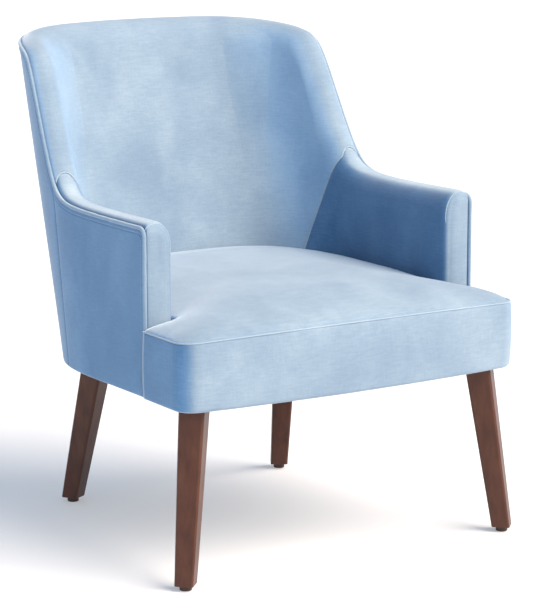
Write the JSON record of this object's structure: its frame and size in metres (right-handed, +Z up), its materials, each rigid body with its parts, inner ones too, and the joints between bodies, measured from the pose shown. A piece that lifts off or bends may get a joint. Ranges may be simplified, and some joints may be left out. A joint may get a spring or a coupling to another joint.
{
  "type": "upholstered armchair",
  "caption": "Low velvet armchair: curved back flowing into low padded arms, crowned tight seat with a tall front border, welted edges, splayed square tapered wooden legs.",
  "frame": {"origin": "on the floor, under the centre of the chair's overall box", "axes": "+Z up; the chair faces -Y; +X is the left-hand side of a person sitting in it, and the chair is symmetric across X"},
  "size_m": [0.6682, 0.7675, 0.8323],
  "materials": {
    "velvet": "pale blue short-pile velvet with a soft sheen, lighter where the pile is brushed towards the light",
    "velvet_welt": "the same velvet sewn over a cord as a welt",
    "leg_wood": "dark walnut stain under satin lacquer, rubbed lighter along the bevelled edges",
    "frame_wood": "plain sawn beech, unfinished",
    "foam": "cream open-cell upholstery foam",
    "webbing": "woven jute webbing, matt",
    "dust_cloth": "black non-woven dust cloth, matt",
    "spring_steel": "drawn spring wire, lightly oiled",
    "zinc_steel": "zinc-plated steel",
    "glide_plastic": "dark brown moulded plastic, fine matt texture"
  },
  "bodies": {
    "root": {"arm_foam_left": "foam", "arm_foam_right": "foam", "arm_front_cover_left": "velvet", "arm_front_cover_right": "velvet", "arm_post_left": "frame_wood", "arm_post_right": "frame_wood", "arm_rail_left": "frame_wood", "arm_rail_right": "frame_wood", "back_foam": "foam", "back_post_left": "frame_wood", "back_post_right": "frame_wood", "back_rail_lower": "frame_wood", "back_strap_left": "webbing", "back_strap_middle": "webbing", "back_strap_right": "webbing", "corner_block_front_left": "frame_wood", "corner_block_front_right": "frame_wood", "corner_block_rear_left": "frame_wood", "corner_block_rear_right": "frame_wood", "dust_cover": "dust_cloth", "glide_front_left": "glide_plastic", "glide_front_right": "glide_plastic", "glide_rear_left": "glide_plastic", "glide_rear_right": "glide_plastic", "hanger_bolt_front_left": "zinc_steel", "hanger_bolt_front_right": "zinc_steel", "hanger_bolt_rear_left": "zinc_steel", "hanger_bolt_rear_right": "zinc_steel", "inner_arm_cover_left": "velvet", "inner_arm_cover_right": "velvet", "inner_back_cover": "velvet", "leg_front_left": "leg_wood", "leg_front_right": "leg_wood", "leg_plate_front_left": "zinc_steel", "leg_plate_front_right": "zinc_steel", "leg_plate_rear_left": "zinc_steel", "leg_plate_rear_right": "zinc_steel", "leg_rear_left": "leg_wood", "leg_rear_right": "leg_wood", "outside_arm_cover_left": "velvet", "outside_arm_cover_right": "velvet", "outside_back_cover": "velvet", "seat_border_cover": "velvet", "seat_border_padding": "foam", "seat_cover": "velvet", "seat_foam": "foam", "seat_rail_back": "frame_wood", "seat_rail_front": "frame_wood", "seat_rail_left": "frame_wood", "seat_rail_right": "frame_wood", "seat_spring_1": "spring_steel", "seat_spring_2": "spring_steel", "seat_spring_3": "spring_steel", "seat_spring_4": "spring_steel", "top_rail": "frame_wood", "welt_cord": "velvet_welt"}
  },
  "joints": []
}
